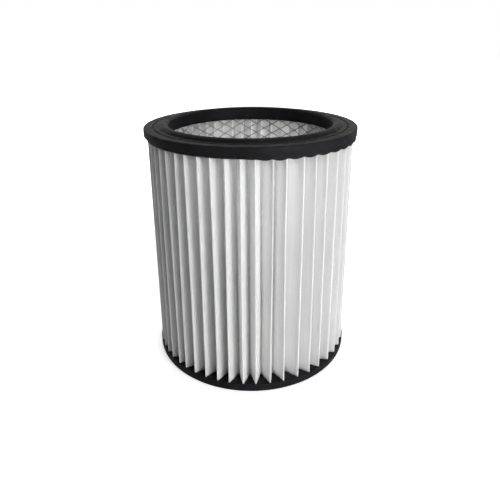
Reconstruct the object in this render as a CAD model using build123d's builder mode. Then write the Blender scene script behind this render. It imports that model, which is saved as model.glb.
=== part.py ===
"""Pleated cartridge filter of a wet and dry vacuum cleaner, sizes in millimetres.

The origin is the centre of the resting face, +Z is up and the photographed side faces -Y.
A pleated sheet and a mesh tube stand upright, and both have their ends cast into two soft caps:
an open one with a flange and a sealing bead on top, and a closed one at the bottom.
"""
import os
from math import acos, asin, atan2, cos, pi, radians, sin, tan, tau

from build123d import *

# Overall sizes
total_height = 228.0
opening_radius = 75.5
pleat_depth = 16.8

# Top cap, heights above its lower edge
bead_height = 12.8
flange_height = 10.0
skirt_height = 3.2
bead_inset = 4.0
bead_round = 5.0
groove_inset = 8.7
groove_width = 1.8
groove_depth = 1.0
flange_overhang = 2.0
flange_bevel = 0.8

# Bottom cap
base_height = 8.5
base_round = 3.0

# Pleated medium
pleat_count = 48
pleat_turn = 2.3
medium_thickness = 0.8

# Support core
core_thickness = 0.9
mesh_columns = 20
mesh_rows = 6
strand_width = 2.2

# Cast material over the core, and over the pleats in the bottom cap and in the top cap's skirt
core_cover = 1.0
base_cover = 0.9
skirt_cover = 1.2

# Depth to which the pleats and the core reach into each cap, and the clearance between the two
cast_depth = 5.0
fold_clearance = 0.1

# Radii from the opening outwards
bead_crest_radius = opening_radius + bead_inset
core_inner_radius = opening_radius + core_cover
core_outer_radius = core_inner_radius + core_thickness
root_radius = core_outer_radius + fold_clearance
crest_radius = root_radius + pleat_depth
base_radius = crest_radius + base_cover
skirt_radius = crest_radius + skirt_cover
flange_radius = skirt_radius + flange_overhang
groove_radius = flange_radius - groove_inset

# Heights of the cast ends
top_edge = total_height - bead_height
cast_bottom = base_height - cast_depth
cast_length = top_edge + cast_depth - cast_bottom

# Narrow flats that make up each quarter of a rounded edge
round_flats = 2

os.makedirs("parts", exist_ok=True)


def rounded_edge(centre_radius, centre_height, radius, first_angle, last_angle):
    """Section points of a rounded edge, from the first angle to the last."""
    points = []
    for flat in range(round_flats + 1):
        angle = first_angle + (last_angle - first_angle) * flat / round_flats
        points.append((centre_radius + radius * cos(angle), centre_height + radius * sin(angle)))
    return points


# Pleated medium: a zigzag sheet, each fold blunted where it reaches the crest or root radius
half_sheet = medium_thickness / 2
half_pitch = 180 / pleat_count
crest_line = crest_radius - half_sheet
root_line = root_radius + half_sheet
fold_points = []
for pleat in range(pleat_count):
    crest_angle = radians(pleat_turn + pleat * 2 * half_pitch)
    root_angle = crest_angle + radians(half_pitch)
    fold_points.append((crest_line * cos(crest_angle), crest_line * sin(crest_angle)))
    fold_points.append((root_line * cos(root_angle), root_line * sin(root_angle)))

with BuildSketch() as fold_area:
    with BuildLine():
        Polyline(*fold_points, close=True)
    make_face()

with BuildPart() as pleated_medium:
    with BuildSketch(Plane.XY.offset(cast_bottom)):
        offset(fold_area.sketch, amount=half_sheet, kind=Kind.INTERSECTION)
        offset(fold_area.sketch, amount=-half_sheet, kind=Kind.INTERSECTION, mode=Mode.SUBTRACT)
        RegularPolygon(
            crest_radius, pleat_count, False, rotation=pleat_turn + half_pitch, mode=Mode.INTERSECT
        )
        RegularPolygon(root_radius, pleat_count, False, rotation=pleat_turn, mode=Mode.SUBTRACT)
    extrude(amount=cast_length)
pleated_medium.part.label = "pleated_medium"


# Support core: a rolled sheet with staggered rows of diamond gaps, cut off through its end rows.
# Each strand lies flat from one crossing to the next, so the tube has two flats to a column.
mid_radius = (core_inner_radius + core_outer_radius) / 2
column_pitch = tau * mid_radius / mesh_columns
row_pitch = cast_length / (mesh_rows - 1)
strand_slope = atan2(row_pitch, column_pitch / 2)
gap_half_width = column_pitch / 2 - strand_width / 2 / sin(strand_slope)
gap_half_height = gap_half_width * tan(strand_slope)
gap_start_radius = core_inner_radius - core_thickness
gap_depth = core_outer_radius + core_thickness - gap_start_radius
gap_planes = []
for row in range(mesh_rows):
    for column in range(mesh_columns):
        angle = (column + row % 2 / 2) * tau / mesh_columns
        outward = Vector(cos(angle), sin(angle), 0)
        level = Vector(0, 0, cast_bottom + row * row_pitch)
        spot = level + outward * gap_start_radius
        gap_planes.append(Plane(spot, x_dir=(-sin(angle), cos(angle), 0), z_dir=outward))

with BuildPart() as support_core:
    with BuildSketch(Plane.XY.offset(cast_bottom)):
        RegularPolygon(core_outer_radius, 2 * mesh_columns)
        RegularPolygon(core_inner_radius, 2 * mesh_columns, mode=Mode.SUBTRACT)
    extrude(amount=cast_length)
    with BuildSketch(*gap_planes):
        with BuildLine():
            Polyline(
                (gap_half_width, 0),
                (0, gap_half_height),
                (-gap_half_width, 0),
                (0, -gap_half_height),
                close=True,
            )
        make_face()
    extrude(amount=gap_depth, mode=Mode.SUBTRACT)
support_core.part.label = "support_core"


# Top cap: a turned moulding, cast round the upper ends of the pleats and the core
bead_centre_height = bead_height - bead_round
bead_inner_angle = acos((opening_radius - bead_crest_radius) / bead_round)
bead_outer_angle = asin((flange_height - bead_centre_height) / bead_round)
bead_inner = rounded_edge(bead_crest_radius, bead_centre_height, bead_round, bead_inner_angle, pi / 2)
bead_outer = rounded_edge(bead_crest_radius, bead_centre_height, bead_round, pi / 2, bead_outer_angle)
with BuildPart() as top_cap:
    with BuildSketch(Plane((0, 0, top_edge), x_dir=(1, 0, 0), z_dir=(0, -1, 0))):
        with BuildLine():
            Polyline(
                (opening_radius, 0),
                *bead_inner,
                *bead_outer[1:],
                (groove_radius - groove_width / 2, flange_height),
                (groove_radius, flange_height - groove_depth),
                (groove_radius + groove_width / 2, flange_height),
                (flange_radius - flange_bevel, flange_height),
                (flange_radius, flange_height - flange_bevel),
                (flange_radius, skirt_height),
                (skirt_radius, skirt_height),
                (skirt_radius, 0),
                close=True,
            )
        make_face()
    revolve(axis=Axis.Z)
    add(pleated_medium.part, mode=Mode.SUBTRACT)
    add(support_core.part, mode=Mode.SUBTRACT)
top_cap.part.label = "top_cap"


# Bottom cap: a closed turned moulding, cast round the lower ends
base_edge = rounded_edge(base_radius - base_round, base_round, base_round, -pi / 2, 0)
with BuildPart() as bottom_cap:
    with BuildSketch(Plane.XZ):
        with BuildLine():
            Polyline((0, 0), *base_edge, (base_radius, base_height), (0, base_height), close=True)
        make_face()
    revolve(axis=Axis.Z)
    add(pleated_medium.part, mode=Mode.SUBTRACT)
    add(support_core.part, mode=Mode.SUBTRACT)
bottom_cap.part.label = "bottom_cap"


export_step(pleated_medium.part, "parts/pleated_medium.step")
export_step(support_core.part, "parts/support_core.step")
export_step(top_cap.part, "parts/top_cap.step")
export_step(bottom_cap.part, "parts/bottom_cap.step")
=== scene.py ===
from math import atan2, cos, pi, radians, sin, tau

import bpy
from mathutils import Matrix, Vector


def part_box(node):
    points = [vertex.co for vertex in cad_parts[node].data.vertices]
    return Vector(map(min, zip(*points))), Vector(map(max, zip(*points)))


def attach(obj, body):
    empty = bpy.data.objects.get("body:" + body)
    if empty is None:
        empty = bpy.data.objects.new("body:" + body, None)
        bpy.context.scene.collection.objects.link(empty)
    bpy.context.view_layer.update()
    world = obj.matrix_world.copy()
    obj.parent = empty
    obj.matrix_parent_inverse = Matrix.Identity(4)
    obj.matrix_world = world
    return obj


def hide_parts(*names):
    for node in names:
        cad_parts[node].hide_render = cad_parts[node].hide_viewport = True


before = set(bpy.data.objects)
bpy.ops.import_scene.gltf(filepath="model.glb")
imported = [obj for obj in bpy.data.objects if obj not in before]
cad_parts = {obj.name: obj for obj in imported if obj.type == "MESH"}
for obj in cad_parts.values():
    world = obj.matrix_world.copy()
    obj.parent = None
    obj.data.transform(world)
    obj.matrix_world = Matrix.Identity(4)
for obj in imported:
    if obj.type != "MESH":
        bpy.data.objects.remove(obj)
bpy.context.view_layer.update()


# Support core: expanded metal, slit and stretched from one thin steel sheet and rolled into a tube.
# Each row of the mesh is a zigzag strand that is still joined to its neighbours at short bonds, and
# both ends of the tube are cast into the caps.
core_low, core_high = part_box("support_core")
strand_inset = 0.0006
core_radius = core_high[0] - strand_inset
strand_columns = 28
strand_width = 0.0008
strand_thickness = 0.0006
strand_rows = 45
bond_length = 0.0020
strand_lean = radians(35)
row_height = (core_high[2] - core_low[2]) / strand_rows
steel_dark = (0.34, 0.34, 0.34)
steel_light = (0.52, 0.52, 0.51)


def new_tree(name, inputs):
    """A geometry tree with a geometry socket at each end and the named inputs."""
    tree = bpy.data.node_groups.new(name, "GeometryNodeTree")
    tree.interface.new_socket("Geometry", in_out="INPUT", socket_type="NodeSocketGeometry")
    tree.interface.new_socket("Geometry", in_out="OUTPUT", socket_type="NodeSocketGeometry")
    for label, kind in inputs:
        tree.interface.new_socket(label, in_out="INPUT", socket_type=kind)
    return tree, tree.nodes.new("NodeGroupInput").outputs, tree.nodes.new("NodeGroupOutput").inputs


def add_node(tree, kind, *links, **settings):
    """A node with its settings, its first inputs linked or set in order; gives the node back."""
    node = tree.nodes.new(kind)
    for key, value in settings.items():
        setattr(node, key, value)
    open_inputs = [socket for socket in node.inputs if socket.enabled]
    for socket, value in zip(open_inputs, links):
        if isinstance(value, bpy.types.NodeSocket):
            tree.links.new(value, socket)
        elif value is not None:
            socket.default_value = value
    return node


def maths(tree, operation, *links):
    """The result of one arithmetic node."""
    return add_node(tree, "ShaderNodeMath", *links, operation=operation).outputs[0]


def grow(name, tree, values, mesh, *modifiers):
    """Runs a geometry tree on a mesh with its named values, and gives back the plain mesh object."""
    piece = bpy.data.objects.new(name, mesh)
    bpy.context.scene.collection.objects.link(piece)
    nodes = piece.modifiers.new("grow", "NODES")
    nodes.node_group = tree
    for socket in tree.interface.items_tree:
        if socket.in_out == "INPUT" and socket.name in values:
            nodes[socket.identifier] = values[socket.name]
    for kind, settings in modifiers:
        modifier = piece.modifiers.new(kind.lower(), kind)
        for key, value in settings.items():
            setattr(modifier, key, value)
    graph = bpy.context.evaluated_depsgraph_get()
    finished = bpy.data.meshes.new_from_object(piece.evaluated_get(graph), depsgraph=graph)
    piece.modifiers.clear()
    piece.data = finished
    return piece


def new_material(name):
    """A new node material, with its tree and its shader."""
    material = bpy.data.materials.new(name)
    material.use_nodes = True
    return material, material.node_tree, material.node_tree.nodes["Principled BSDF"]


def noise(tree, scale, detail, stretch=(1, 1, 1)):
    """Noise on the piece's own coordinates, stretched along its axes."""
    place = add_node(tree, "ShaderNodeTexCoord").outputs["Object"]
    spread = add_node(tree, "ShaderNodeMapping", place)
    spread.inputs["Scale"].default_value = stretch
    texture = add_node(tree, "ShaderNodeTexNoise", spread.outputs[0])
    texture.inputs["Scale"].default_value = scale
    texture.inputs["Detail"].default_value = detail
    return texture.outputs[0]


def spread_over(tree, value, low, high):
    """A value from 0.3 to 0.7, where noise mostly lies, spread over a new range."""
    node = add_node(tree, "ShaderNodeMapRange", value, 0.3, 0.7, low, high)
    return node.outputs[0]


def two_tone(tree, value, first, second):
    """A colour between two, by a value from 0 to 1."""
    ramp = add_node(tree, "ShaderNodeValToRGB", value)
    ramp.color_ramp.elements[0].color = (*first, 1)
    ramp.color_ramp.elements[1].color = (*second, 1)
    return ramp.outputs[0]


def bump(tree, shader, height, strength, distance):
    """Surface relief from a height."""
    node = add_node(tree, "ShaderNodeBump")
    node.inputs["Strength"].default_value = strength
    node.inputs["Distance"].default_value = distance
    tree.links.new(height, node.inputs["Height"])
    tree.links.new(node.outputs[0], shader.inputs["Normal"])


core_steel, tree, shader = new_material("core_steel")
stain = noise(tree, scale=120, detail=4)
tree.links.new(two_tone(tree, stain, steel_dark, steel_light), shader.inputs["Base Color"])
wear = spread_over(tree, noise(tree, scale=900, detail=2), low=0.38, high=0.6)
tree.links.new(wear, shader.inputs["Roughness"])
shader.inputs["Metallic"].default_value = 0.6
bump(tree, shader, noise(tree, scale=2500, detail=2), strength=0.3, distance=0.0002)

tree, given, result = new_tree(
    "zigzag_strands",
    [
        ("Radius", "NodeSocketFloat"),
        ("Columns", "NodeSocketInt"),
        ("Rows", "NodeSocketInt"),
        ("Row Height", "NodeSocketFloat"),
        ("Bottom", "NodeSocketFloat"),
        ("Strand Width", "NodeSocketFloat"),
        ("Strand Thickness", "NodeSocketFloat"),
        ("Bond Length", "NodeSocketFloat"),
        ("Strand Lean", "NodeSocketFloat"),
        ("Finish", "NodeSocketMaterial"),
    ],
)
# Four points to a column: the two ends of a lower bond, then the two ends of an upper one
points_round = maths(tree, "MULTIPLY", given["Columns"], 4)
circle = add_node(tree, "GeometryNodeCurvePrimitiveCircle", points_round, mode="RADIUS")
index = add_node(tree, "GeometryNodeInputIndex").outputs[0]
step = maths(tree, "DIVIDE", tau, points_round)
odd_point = maths(tree, "FLOORED_MODULO", index, 2)
side = maths(tree, "SUBTRACT", maths(tree, "MULTIPLY", odd_point, 2), 1)
bond_angle = maths(tree, "DIVIDE", given["Bond Length"], given["Radius"])
pull = maths(tree, "MULTIPLY", maths(tree, "SUBTRACT", step, bond_angle), 0.5)
even_angle = maths(tree, "MULTIPLY", index, step)
angle = maths(tree, "SUBTRACT", even_angle, maths(tree, "MULTIPLY", side, pull))
upper = maths(tree, "GREATER_THAN", maths(tree, "FLOORED_MODULO", index, 4), 1.5)
wave = maths(tree, "SUBTRACT", given["Row Height"], given["Strand Width"])
strand_place = add_node(
    tree,
    "ShaderNodeCombineXYZ",
    maths(tree, "MULTIPLY", maths(tree, "COSINE", angle), given["Radius"]),
    maths(tree, "MULTIPLY", maths(tree, "SINE", angle), given["Radius"]),
    maths(tree, "MULTIPLY", maths(tree, "SUBTRACT", upper, 0.5), wave),
)
zigzag = add_node(tree, "GeometryNodeSetPosition", circle.outputs[0], None, strand_place.outputs[0])
upright = add_node(tree, "GeometryNodeSetCurveNormal", zigzag.outputs[0], mode="Z_UP")
leaning = add_node(tree, "GeometryNodeSetCurveTilt", upright.outputs[0], None, given["Strand Lean"])
section = add_node(
    tree, "GeometryNodeCurvePrimitiveQuadrilateral", given["Strand Thickness"], given["Strand Width"]
)
strand = add_node(tree, "GeometryNodeCurveToMesh")
tree.links.new(leaning.outputs[0], strand.inputs["Curve"])
tree.links.new(section.outputs[0], strand.inputs["Profile Curve"])
first_row = maths(tree, "ADD", given["Bottom"], maths(tree, "MULTIPLY", given["Row Height"], 0.5))
first_place = add_node(tree, "ShaderNodeCombineXYZ", 0, 0, first_row).outputs[0]
row_offset = add_node(tree, "ShaderNodeCombineXYZ", 0, 0, given["Row Height"]).outputs[0]
rows = add_node(tree, "GeometryNodeMeshLine", mode="OFFSET")
tree.links.new(given["Rows"], rows.inputs["Count"])
tree.links.new(first_place, rows.inputs["Start Location"])
tree.links.new(row_offset, rows.inputs["Offset"])
odd_row = maths(tree, "FLOORED_MODULO", index, 2)
row_turn = maths(tree, "MULTIPLY", odd_row, maths(tree, "MULTIPLY", step, 2))
row_rotation = add_node(tree, "ShaderNodeCombineXYZ", 0, 0, row_turn).outputs[0]
placed = add_node(tree, "GeometryNodeInstanceOnPoints")
tree.links.new(rows.outputs[0], placed.inputs["Points"])
tree.links.new(strand.outputs[0], placed.inputs["Instance"])
tree.links.new(row_rotation, placed.inputs["Rotation"])
whole = add_node(tree, "GeometryNodeRealizeInstances", placed.outputs[0])
finished = add_node(tree, "GeometryNodeSetMaterial", whole.outputs[0])
tree.links.new(given["Finish"], finished.inputs["Material"])
tree.links.new(finished.outputs[0], result[0])

core = grow(
    "core_mesh",
    tree,
    {
        "Radius": core_radius,
        "Columns": strand_columns,
        "Rows": strand_rows,
        "Row Height": row_height,
        "Bottom": core_low[2],
        "Strand Width": strand_width,
        "Strand Thickness": strand_thickness,
        "Bond Length": bond_length,
        "Strand Lean": strand_lean,
        "Finish": core_steel,
    },
    bpy.data.meshes.new("core_mesh"),
)
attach(core, "root")
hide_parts("support_core")


# Pleated medium: one sheet of white spunbonded polyester, scored, folded into upright pleats and
# closed into a ring round the core. The folds are small rounds, the pleats stand a little wider on
# the right than on the left, and each wavers on its way up.
medium_low, medium_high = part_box("pleated_medium")
pleat_count = 48
pleat_turn = radians(2.3)
sheet_thickness = 0.0007
crest_reach = 0.0943
core_clearance = 0.0001
crest_radius = crest_reach - sheet_thickness / 2
root_radius = core_high[0] + core_clearance + sheet_thickness / 2
crest_fold = 0.0003
root_fold = 0.0010
fold_steps = 5
panel_steps = 5
height_steps = 32
lean_rounds = 30
seam_distance = 0.00001
spacing_drift = 0.14
pleat_wander = 0.0012
wander_gain = 4
waves_round = 7
waves_up = 3
half_pitch = pi / pleat_count
sheet_shade = (0.82, 0.825, 0.825)
sheet_white = (0.9, 0.9, 0.89)


def half_pleat():
    """Points from a crest to the middle of the next root: a fold, a straight panel and half a fold.

    The panel's lean starts as a guess, and is corrected until the panel runs into both folds.
    """
    lean = radians(15)
    for _ in range(lean_rounds):
        leave = Vector((crest_radius - crest_fold + crest_fold * sin(lean), crest_fold * cos(lean)))
        reach = lean + half_pitch
        out = root_radius + root_fold - root_fold * sin(reach)
        across = -root_fold * cos(reach)
        turn = Matrix.Rotation(half_pitch, 2)
        arrive = turn @ Vector((out, across))
        lean = atan2(arrive.y - leave.y, leave.x - arrive.x)
    points = []
    for number in range(fold_steps + 1):
        bend = (pi / 2 - lean) * number / fold_steps
        along = crest_radius - crest_fold + crest_fold * cos(bend)
        points.append(Vector((along, crest_fold * sin(bend))))
    for number in range(1, panel_steps):
        points.append(leave.lerp(arrive, number / panel_steps))
    for number in range(fold_steps + 1):
        bend = (pi / 2 - reach) * (1 - number / fold_steps)
        along = root_radius + root_fold - root_fold * cos(bend)
        points.append(turn @ Vector((along, -root_fold * sin(bend))))
    return points


right_half = half_pleat()
pleat_line = [Vector((point.x, -point.y)) for point in reversed(right_half[1:])] + right_half
sheet_height = medium_high[2] - medium_low[2]
vertices = []
faces = []
for level in range(height_steps + 1):
    z = medium_low[2] + sheet_height * level / height_steps
    vertices += [(point.y, -point.x, z) for point in pleat_line]
width = len(pleat_line)
for level in range(height_steps):
    for column in range(width - 1):
        corner = level * width + column
        faces.append((corner, corner + 1, corner + 1 + width, corner + width))
one_pleat = bpy.data.meshes.new("one_pleat")
one_pleat.from_pydata(vertices, [], faces)

spunbond, tree, shader = new_material("spunbond")
streak = noise(tree, scale=420, detail=3, stretch=(1, 1, 0.04))
cloud = noise(tree, scale=26, detail=2)
mottle = maths(tree, "ADD", maths(tree, "MULTIPLY", streak, 0.7), maths(tree, "MULTIPLY", cloud, 0.3))
shade = spread_over(tree, mottle, low=0, high=1)
tree.links.new(two_tone(tree, shade, sheet_shade, sheet_white), shader.inputs["Base Color"])
shader.inputs["Roughness"].default_value = 0.88
shader.inputs["Specular IOR Level"].default_value = 0.25
shader.inputs["Subsurface Weight"].default_value = 1.0
shader.inputs["Subsurface Radius"].default_value = (1, 1, 1)
shader.inputs["Subsurface Scale"].default_value = 0.0045
long_fibre = noise(tree, scale=1500, detail=3, stretch=(1, 1, 0.12))
short_fibre = noise(tree, scale=2600, detail=2)
bump(tree, shader, maths(tree, "ADD", long_fibre, short_fibre), strength=0.35, distance=0.0003)

tree, given, result = new_tree(
    "pleat_ring",
    [
        ("Pleats", "NodeSocketInt"),
        ("Turn", "NodeSocketFloat"),
        ("Drift", "NodeSocketFloat"),
        ("Wander", "NodeSocketFloat"),
        ("Root", "NodeSocketFloat"),
        ("Crest", "NodeSocketFloat"),
        ("Finish", "NodeSocketMaterial"),
    ],
)
spots = add_node(tree, "GeometryNodePoints", given["Pleats"])
index = add_node(tree, "GeometryNodeInputIndex").outputs[0]
pitch = maths(tree, "DIVIDE", tau, given["Pleats"])
spot_turn = maths(tree, "ADD", maths(tree, "MULTIPLY", index, pitch), given["Turn"])
spot_rotation = add_node(tree, "ShaderNodeCombineXYZ", 0, 0, spot_turn).outputs[0]
placed = add_node(tree, "GeometryNodeInstanceOnPoints")
tree.links.new(spots.outputs[0], placed.inputs["Points"])
tree.links.new(given["Geometry"], placed.inputs["Instance"])
tree.links.new(spot_rotation, placed.inputs["Rotation"])
whole = add_node(tree, "GeometryNodeRealizeInstances", placed.outputs[0])
ring = add_node(tree, "GeometryNodeMergeByDistance", whole.outputs[0])
ring.inputs["Distance"].default_value = seam_distance
where = add_node(tree, "GeometryNodeInputPosition").outputs[0]
x, y, z = add_node(tree, "ShaderNodeSeparateXYZ", where).outputs
x_square = maths(tree, "MULTIPLY", x, x)
y_square = maths(tree, "MULTIPLY", y, y)
radius = maths(tree, "SQRT", maths(tree, "ADD", x_square, y_square))
around = maths(tree, "ARCTAN2", x, maths(tree, "MULTIPLY", y, -1))
off_front = maths(tree, "SUBTRACT", 1, maths(tree, "COSINE", around))
drift = maths(tree, "MULTIPLY", off_front, given["Drift"])
sample = add_node(
    tree,
    "ShaderNodeCombineXYZ",
    maths(tree, "MULTIPLY", maths(tree, "DIVIDE", x, radius), waves_round),
    maths(tree, "MULTIPLY", maths(tree, "DIVIDE", y, radius), waves_round),
    maths(tree, "MULTIPLY", z, waves_up),
)
roam = add_node(tree, "ShaderNodeTexNoise", sample.outputs[0])
roam.inputs["Scale"].default_value = 1.0
roam.inputs["Detail"].default_value = 0.0
free = add_node(tree, "ShaderNodeMapRange", radius, given["Root"], given["Crest"], 0.0, 1.0).outputs[0]
swing = maths(tree, "MULTIPLY", maths(tree, "SUBTRACT", roam.outputs[0], 0.5), wander_gain)
sway = maths(tree, "MULTIPLY", swing, given["Wander"])
turned_to = maths(
    tree,
    "ADD",
    maths(tree, "ADD", around, drift),
    maths(tree, "DIVIDE", maths(tree, "MULTIPLY", sway, free), radius),
)
settled = add_node(
    tree,
    "ShaderNodeCombineXYZ",
    maths(tree, "MULTIPLY", maths(tree, "SINE", turned_to), radius),
    maths(tree, "MULTIPLY", maths(tree, "COSINE", turned_to), maths(tree, "MULTIPLY", radius, -1)),
    z,
)
shifted = add_node(tree, "GeometryNodeSetPosition", ring.outputs[0], None, settled.outputs[0])
finished = add_node(tree, "GeometryNodeSetMaterial", shifted.outputs[0])
tree.links.new(given["Finish"], finished.inputs["Material"])
tree.links.new(finished.outputs[0], result[0])

medium = grow(
    "pleats",
    tree,
    {
        "Pleats": pleat_count,
        "Turn": pleat_turn,
        "Drift": spacing_drift,
        "Wander": pleat_wander,
        "Root": root_radius,
        "Crest": crest_radius,
        "Finish": spunbond,
    },
    one_pleat,
    ("SOLIDIFY", {"thickness": sheet_thickness, "offset": 0.0, "use_rim": True}),
)
medium.data.shade_smooth()
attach(medium, "root")
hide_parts("pleated_medium")


# Bottom cap: soft black polyurethane, poured into a round pan with the pleats and the core standing
# in it. It has a rounded lower edge, and its upper face dips from a rim at the pleats' crests to a
# lower floor at their roots and inside the core.
_, base_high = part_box("bottom_cap")
base_radius = base_high[0]
base_height = base_high[2]
base_round = 0.003
base_dip = 0.0026
rim_round = 0.0006
hub_radius = 0.02
face_width = 0.02
face_steps = 10
turned_steps = 720
sharp_angle = radians(40)
rubber_dark = (0.006, 0.006, 0.007)
rubber_bloom = (0.011, 0.011, 0.0125)


def arc(centre, radius, first, last, steps):
    """Section points along an arc, by its first and last angle in degrees."""
    points = []
    for number in range(steps + 1):
        bend = radians(first + (last - first) * number / steps)
        points.append((centre[0] + radius * cos(bend), centre[1] + radius * sin(bend)))
    return points


def turned(name, section, closed, settle):
    """A turned mesh: the section swept round the axis, each point settled by its angle.

    A section that isn't closed gets a flat lid at each of its ends.
    """
    vertices = []
    faces = []
    count = len(section)
    for number in range(turned_steps):
        angle = tau * number / turned_steps
        for radius, height in section:
            r, z = settle(angle, radius, height)
            vertices.append((r * sin(angle), -r * cos(angle), z))
    for number in range(turned_steps):
        here = number * count
        there = (number + 1) % turned_steps * count
        for point in range(count if closed else count - 1):
            after = (point + 1) % count
            faces.append((here + point, there + point, there + after, here + after))
    if not closed:
        for point in (0, count - 1):
            ends = [number * count + point for number in range(turned_steps)]
            faces.append(ends if point else ends[::-1])
    mesh = bpy.data.meshes.new(name)
    mesh.from_pydata(vertices, [], faces)
    mesh.validate()
    mesh.shade_smooth()
    mesh.set_sharp_from_angle(angle=sharp_angle)
    piece = bpy.data.objects.new(name, mesh)
    bpy.context.scene.collection.objects.link(piece)
    return piece


cap_rubber, tree, shader = new_material("cap_rubber")
bloom = spread_over(tree, noise(tree, scale=45, detail=5), low=0, high=1)
tree.links.new(two_tone(tree, bloom, rubber_dark, rubber_bloom), shader.inputs["Base Color"])
satin = spread_over(tree, noise(tree, scale=160, detail=3), low=0.5, high=0.66)
tree.links.new(satin, shader.inputs["Roughness"])
shader.inputs["Specular IOR Level"].default_value = 0.11
fine_skin = noise(tree, scale=1400, detail=3)
broad_skin = maths(tree, "MULTIPLY", noise(tree, scale=90, detail=2), 2)
bump(tree, shader, maths(tree, "ADD", fine_skin, broad_skin), strength=0.25, distance=0.0005)

rim_centre = (base_radius - rim_round, base_height - rim_round)
base_section = [(hub_radius, 0)]
base_section += arc((base_radius - base_round, base_round), base_round, first=-90, last=0, steps=8)
base_section += [(base_radius, base_height - rim_round)]
base_section += arc(rim_centre, rim_round, first=0, last=90, steps=4)
for number in range(1, face_steps + 1):
    base_section.append((base_radius - face_width * number / face_steps, base_height))
base_section += [(hub_radius, base_height)]


def dip_inwards(angle, radius, height):
    """The upper face falls from the crests of the pleats to their roots."""
    if height < base_height:
        return radius, height
    share = min(max((crest_radius - radius) / (crest_radius - root_radius), 0), 1)
    return radius, height - base_dip * share


bottom_cap = turned("bottom_cap_skin", base_section, False, dip_inwards)
bottom_cap.data.materials.append(cap_rubber)
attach(bottom_cap, "root")
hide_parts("bottom_cap")


# Top cap: the same black polyurethane, cast over the upper ends. A rounded bead round the opening
# seals against the machine, a thin groove parts it from the flat flange, and a narrower skirt below
# holds the pleats. On the right the poured skin has crept down between the pleats in scallops.
top_low, top_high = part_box("top_cap")
flange_radius = top_high[0]
opening_radius = 0.0755
skirt_radius = 0.0955
skirt_height = 0.0032
flange_height = 0.0100
bore_heights = (0, 0.004, 0.008)
bead_height = top_high[2] - top_low[2]
bead_inset = 0.0040
bead_round = 0.0050
bead_first_angle = 143.13
bead_last_angle = 26.10
groove_inset = 0.0087
groove_half_width = 0.0009
groove_floor_half_width = 0.0003
groove_depth = 0.0010
flange_round = 0.0012
flange_lower_round = 0.0005
skirt_corner = 0.0003
skirt_round = 0.0008
skirt_band = 0.0014
underside_step = 0.0019

# Overflow of the poured skin: how far it goes, and the ranges over which it sets in, by the sine
# and cosine of the angle from the front, the radius and the height above the lower edge
scallop_drop = 0.0012
overflow_drop = 0.0005
overflow_swell = 0.0014
drop_sines = (-0.1, 0.2)
drop_cosines = (-0.5, 0.1)
drop_behind = 0.4
drop_heights = (0, 0.0016)
swell_sines = (0.3, 0.8)
swell_heights = (0.0022, 0.0036)
overflow_radii = (0.082, 0.090)
spacing_rounds = 8

bead_centre = (opening_radius + bead_inset, bead_height - bead_round)
groove_radius = flange_radius - groove_inset
groove_bottom = flange_height - groove_depth
flange_centre = (flange_radius - flange_round, flange_height - flange_round)
flange_lower_centre = (flange_radius - flange_lower_round, skirt_height + flange_lower_round)
skirt_inner_radius = skirt_radius - skirt_round
cap_section = [(opening_radius, height) for height in bore_heights]
cap_section += arc(bead_centre, bead_round, bead_first_angle, bead_last_angle, steps=16)
cap_section += [(groove_radius - groove_half_width, flange_height)]
cap_section += [(groove_radius - groove_floor_half_width, groove_bottom)]
cap_section += [(groove_radius + groove_floor_half_width, groove_bottom)]
cap_section += [(groove_radius + groove_half_width, flange_height)]
cap_section += arc(flange_centre, flange_round, first=90, last=0, steps=6)
cap_section += arc(flange_lower_centre, flange_lower_round, first=0, last=-90, steps=4)
cap_section += [(skirt_radius + skirt_corner, skirt_height), (skirt_radius, skirt_height - skirt_corner)]
cap_section += [(skirt_radius, skirt_band)]
cap_section += arc((skirt_inner_radius, skirt_round), skirt_round, first=0, last=-90, steps=4)
cap_section += [(skirt_inner_radius - underside_step * number, 0) for number in range(1, 10)]


def ease(value, first, last):
    """A smooth step from 0 at the first value to 1 at the last."""
    share = min(max((value - first) / (last - first), 0), 1)
    return share * share * (3 - 2 * share)


def creep_down(angle, radius, height):
    """The lower edge dips in the mouths of the pleats, most on the right.

    The pleats' even place is found from their drifted one by a few rounds of correction.
    """
    around = angle if angle < pi else angle - tau
    even = around
    for _ in range(spacing_rounds):
        even = around - spacing_drift * (1 - cos(even))
    lobe = abs(sin((even - pleat_turn) * pleat_count / 2))
    front = drop_behind + (1 - drop_behind) * ease(cos(around), *drop_cosines)
    lopsided = ease(sin(around), *drop_sines) * front
    outside = ease(radius, *overflow_radii)
    swell = overflow_swell * ease(sin(around), *swell_sines) * outside * (1 - ease(height, *swell_heights))
    drop = (overflow_drop + scallop_drop * lobe) * lopsided * outside * (1 - ease(height, *drop_heights))
    return min(radius + swell, flange_radius), top_low[2] + height - drop


top_cap = turned("top_cap_skin", cap_section, True, creep_down)
top_cap.data.materials.append(cap_rubber)
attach(top_cap, "root")
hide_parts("top_cap")


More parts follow.
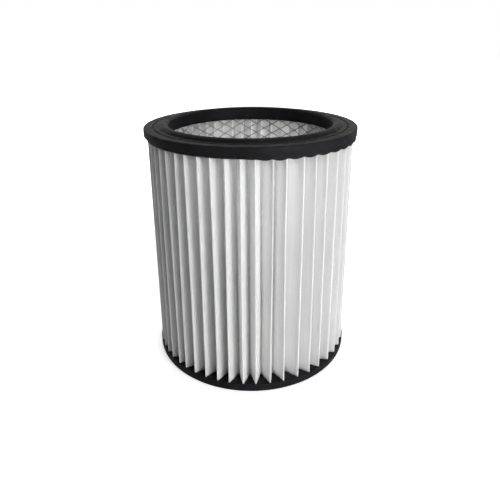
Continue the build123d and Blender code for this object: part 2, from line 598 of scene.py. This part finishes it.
# The table: a plain white sweep, so wide that its edges stay out of sight. It keeps the cartridge's
# shadow, and the eye sees it turn to full white a little way off.
table_half = 4.0
table_corners = [(-1, -1), (1, -1), (1, 1), (-1, 1)]
near_white, far_white = 0.62, 1.0
near_distance, far_distance = 0.1, 0.5
table_mesh = bpy.data.meshes.new("table")
table_mesh.from_pydata(
    [(across * table_half, along * table_half, 0) for across, along in table_corners],
    [],
    [(0, 1, 2, 3)],
)
table = bpy.data.objects.new("table", table_mesh)
bpy.context.scene.collection.objects.link(table)
table_white, tree, shader = new_material("table_white")
shader.inputs["Base Color"].default_value = (0.88, 0.88, 0.88, 1)
shader.inputs["Roughness"].default_value = 0.9
shader.inputs["Specular IOR Level"].default_value = 0.1
shader.inputs["Emission Color"].default_value = (1, 1, 1, 1)
seen = add_node(tree, "ShaderNodeLightPath").outputs["Is Camera Ray"]
spot = add_node(tree, "ShaderNodeTexCoord").outputs["Object"]
away = add_node(tree, "ShaderNodeVectorMath", spot, operation="LENGTH").outputs["Value"]
glow = add_node(
    tree, "ShaderNodeMapRange", away, near_distance, far_distance, near_white, far_white
).outputs[0]
tree.links.new(maths(tree, "MULTIPLY", seen, glow), shader.inputs["Emission Strength"])
table.data.materials.append(table_white)


# The light: a soft window low on the right, a wide sheet above it, a narrow gridded box in front that
# lifts the right half of the pleats, and a wide light behind. The room is white to the eye, whiter
# behind than in front to the reflections, and lights the object only weakly.
room_light = 0.10
mirrored_front, mirrored_back = 0.15, 1.0
front_bearing, back_bearing = -0.2, 0.8


def window(name, azimuth, elevation, distance, size, power):
    """A square soft light that looks at the middle of the cartridge."""
    lamp = bpy.data.lights.new(name, "AREA")
    lamp.size = size
    lamp.energy = power
    holder = bpy.data.objects.new(name, lamp)
    a, e = radians(azimuth), radians(elevation)
    middle = Vector((0, 0, top_high[2] / 2))
    away = Vector((sin(a) * cos(e), -cos(a) * cos(e), sin(e)))
    holder.location = middle + away * distance
    holder.rotation_euler = away.to_track_quat("Z", "Y").to_euler()
    bpy.context.scene.collection.objects.link(holder)
    return holder


key = window("right_window", azimuth=40, elevation=8, distance=1.5, size=0.5, power=10.6)
key.data.shape = "RECTANGLE"
key.data.size_y = 0.65
window("front_sheet", azimuth=30, elevation=28, distance=1.4, size=0.8, power=8.8)
fill = window("gridded_box", azimuth=-10, elevation=4, distance=1.2, size=0.1, power=0.06)
fill.data.shape = "RECTANGLE"
fill.data.size_y = 0.6
fill.data.spread = radians(9)
fill.rotation_euler.z -= radians(4.0)
back = window("backdrop", azimuth=180, elevation=25, distance=1.4, size=1.2, power=19)
back.visible_glossy = False
room = bpy.data.worlds.new("room")
room.use_nodes = True
bpy.context.scene.world = room
tree = room.node_tree
path = add_node(tree, "ShaderNodeLightPath").outputs
bearing = add_node(tree, "ShaderNodeTexCoord").outputs["Generated"]
behind = add_node(tree, "ShaderNodeSeparateXYZ", bearing).outputs["Y"]
mirrored = maths(tree, "MAXIMUM", path["Is Glossy Ray"], path["Is Transmission Ray"])
seen_white = add_node(
    tree, "ShaderNodeMapRange", behind, front_bearing, back_bearing, mirrored_front, mirrored_back
).outputs[0]
strength = maths(tree, "MAXIMUM", path["Is Camera Ray"], maths(tree, "MULTIPLY", mirrored, seen_white))
background = tree.nodes["Background"]
tree.links.new(maths(tree, "MAXIMUM", strength, room_light), background.inputs["Strength"])
background.inputs["Color"].default_value = (1, 1, 1, 1)


# The camera: in front of the cartridge and a little above its top, as the photograph was taken.
# Its lens is worked out from a focal length in pixels and the picture's width.
picture_width = 500
focal_pixels = 486.0
sensor_width = 36
camera_place = (0, -0.44835, 0.30814)
look_down = 0.3402
camera_roll = -0.007
camera_data = bpy.data.cameras.new("camera")
camera_data.sensor_width = sensor_width
camera_data.lens = focal_pixels * sensor_width / picture_width
camera_data.shift_x = -0.0019
camera_data.shift_y = -0.1
camera_data.clip_start = 0.01
camera = bpy.data.objects.new("camera", camera_data)
camera.matrix_world = (
    Matrix.Translation(camera_place)
    @ Matrix.Rotation(pi / 2 - look_down, 4, "X")
    @ Matrix.Rotation(camera_roll, 4, "Z")
)
bpy.context.scene.collection.objects.link(camera)
bpy.context.scene.camera = camera
bpy.context.scene.view_settings.view_transform = "Standard"

bpy.context.view_layer.update()
